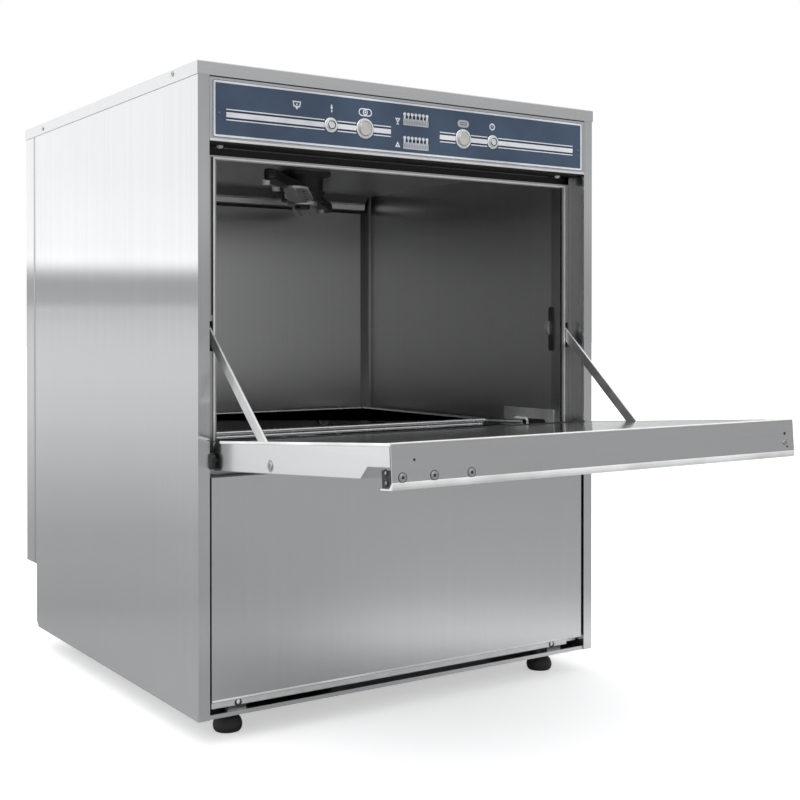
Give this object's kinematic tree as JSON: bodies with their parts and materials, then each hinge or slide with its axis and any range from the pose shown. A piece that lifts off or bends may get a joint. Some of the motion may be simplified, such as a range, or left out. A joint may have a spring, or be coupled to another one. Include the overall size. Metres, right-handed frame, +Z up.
{
  "type": "commercial dishwasher",
  "caption": "Front-loading undercounter commercial dishwasher in brushed steel, with a drop-down door on side straps, a push-button control fascia, wash arms and levelling feet.",
  "frame": {"origin": "centre of the overall footprint with the door open, on the floor", "axes": "+X to the machine's right seen from the front, +Y from front to back, +Z up"},
  "size_m": [0.6016, 0.9777, 0.78],
  "materials": {
    "cabinet_steel": "brushed",
    "tub_steel": "satin",
    "door_steel": "brushed",
    "fastener_steel": "bright",
    "panel_film": "printed film",
    "display_plastic": "satin",
    "button_metal": "satin",
    "black_plastic": "moulded",
    "arm_steel": "satin",
    "black_rubber": "matte",
    "circuit_green": "solder mask",
    "rotor_steel": "machined",
    "motor_aluminium": "cast",
    "grey_hose": "matte",
    "boiler_steel": "welded",
    "valve_white": "moulded",
    "electrical_grey": "moulded"
  },
  "bodies": {
    "cabinet": {"arm_hubs": "black_plastic", "base_pan": "cabinet_steel", "black_fittings": "black_plastic", "button_bezels": "button_metal", "cabinet_screws": "fastener_steel", "cable_gland": "black_plastic", "control_board": "circuit_green", "control_fascia": "cabinet_steel", "control_overlay": "panel_film", "drain_pipe": "grey_hose", "electrical_plate": "electrical_grey", "filter_plates": "tub_steel", "hinge_brackets": "cabinet_steel", "indicators": "display_plastic", "inlet_valve": "valve_white", "level_sensor": "fastener_steel", "lower_front_panel": "cabinet_steel", "mouth_seal": "black_rubber", "pump_pipework": "grey_hose", "rack_brackets": "tub_steel", "rack_rods": "tub_steel", "rear_cover": "cabinet_steel", "rear_lower_panel": "cabinet_steel", "rinse_boiler": "boiler_steel", "rinse_pipe": "grey_hose", "side_panel_left": "cabinet_steel", "side_panel_right": "cabinet_steel", "sump_tank": "tub_steel", "support_rails": "cabinet_steel", "tank_heater": "fastener_steel", "top_panel": "cabinet_steel", "tub_back": "tub_steel", "tub_ceiling": "tub_steel", "tub_floor": "tub_steel", "tub_front_frame": "tub_steel", "tub_side_left": "tub_steel", "tub_side_right": "tub_steel", "tub_trim": "tub_steel", "wash_motor": "motor_aluminium", "wash_pump": "black_plastic"},
    "door": {"door_skin": "door_steel", "door_liner": "door_steel", "door_handle": "door_steel", "door_mouldings": "black_rubber", "door_rivets": "fastener_steel"},
    "strap_left": {"strap_left": "door_steel"},
    "strap_right": {"strap_right": "door_steel"},
    "button_small_left": {"button_small_left": "button_metal"},
    "button_big_left": {"button_big_left": "button_metal"},
    "button_big_right": {"button_big_right": "button_metal"},
    "button_small_right": {"button_small_right": "button_metal"},
    "upper_wash_arm": {"upper_wash_arm": "black_plastic"},
    "upper_rinse_arm": {"upper_rinse_arm": "arm_steel"},
    "lower_wash_arm": {"lower_wash_arm": "black_plastic"},
    "lower_rinse_arm": {"lower_rinse_arm": "arm_steel"},
    "pump_rotor": {"pump_impeller": "rotor_steel"},
    "foot_front_left": {"foot_front_left": "black_rubber"},
    "foot_front_right": {"foot_front_right": "black_rubber"},
    "foot_back_left": {"foot_back_left": "black_rubber"},
    "foot_back_right": {"foot_back_right": "black_rubber"}
  },
  "joints": [
    {"name": "door_swing", "type": "hinge", "parent": "cabinet", "child": "door", "pos_m": [0, -0.1251, 0.3252], "axis": [-1, 0, 0], "range_deg": [0, 86.1]},
    {"name": "strap_left_swing", "type": "hinge", "parent": "door", "child": "strap_left", "pos_m": [-0.2725, -0.25727, 0.3316], "axis": [-1, 0, 0], "range_deg": [-48, 0]},
    {"name": "strap_right_swing", "type": "hinge", "parent": "door", "child": "strap_right", "pos_m": [0.2725, -0.25727, 0.3316], "axis": [-1, 0, 0], "range_deg": [-48, 0]},
    {"name": "press_small_left", "type": "slide", "parent": "cabinet", "child": "button_small_left", "axis": [0, 1, 0], "range_m": [0, 0.002], "stiffness_N_per_m": 400},
    {"name": "press_big_left", "type": "slide", "parent": "cabinet", "child": "button_big_left", "axis": [0, 1, 0], "range_m": [0, 0.002], "stiffness_N_per_m": 400},
    {"name": "press_big_right", "type": "slide", "parent": "cabinet", "child": "button_big_right", "axis": [0, 1, 0], "range_m": [0, 0.002], "stiffness_N_per_m": 400},
    {"name": "press_small_right", "type": "slide", "parent": "cabinet", "child": "button_small_right", "axis": [0, 1, 0], "range_m": [0, 0.002], "stiffness_N_per_m": 400},
    {"name": "upper_wash_arm_spin", "type": "hinge", "parent": "cabinet", "child": "upper_wash_arm", "pos_m": [0, 0.1629, 0.65], "axis": [0, 0, 1], "continuous": true},
    {"name": "upper_rinse_arm_spin", "type": "hinge", "parent": "cabinet", "child": "upper_rinse_arm", "pos_m": [0, 0.1629, 0.65], "axis": [0, 0, 1], "continuous": true},
    {"name": "lower_wash_arm_spin", "type": "hinge", "parent": "cabinet", "child": "lower_wash_arm", "pos_m": [0, 0.1629, 0.31], "axis": [0, 0, 1], "continuous": true},
    {"name": "lower_rinse_arm_spin", "type": "hinge", "parent": "cabinet", "child": "lower_rinse_arm", "pos_m": [0, 0.1629, 0.31], "axis": [0, 0, 1], "continuous": true},
    {"name": "pump_spin", "type": "hinge", "parent": "cabinet", "child": "pump_rotor", "pos_m": [0.062, 0.1049, 0.112], "axis": [1, 0, 0], "continuous": true},
    {"name": "level_front_left", "type": "slide", "parent": "cabinet", "child": "foot_front_left", "axis": [0, 0, -1], "range_m": [0, 0.035]},
    {"name": "level_front_right", "type": "slide", "parent": "cabinet", "child": "foot_front_right", "axis": [0, 0, -1], "range_m": [0, 0.035]},
    {"name": "level_back_left", "type": "slide", "parent": "cabinet", "child": "foot_back_left", "axis": [0, 0, -1], "range_m": [0, 0.035]},
    {"name": "level_back_right", "type": "slide", "parent": "cabinet", "child": "foot_back_right", "axis": [0, 0, -1], "range_m": [0, 0.035]}
  ],
  "couplings": [
    {"joint": "strap_left_swing", "follows": "door_swing", "ratio": -0.555},
    {"joint": "strap_right_swing", "follows": "door_swing", "ratio": -0.555}
  ]
}
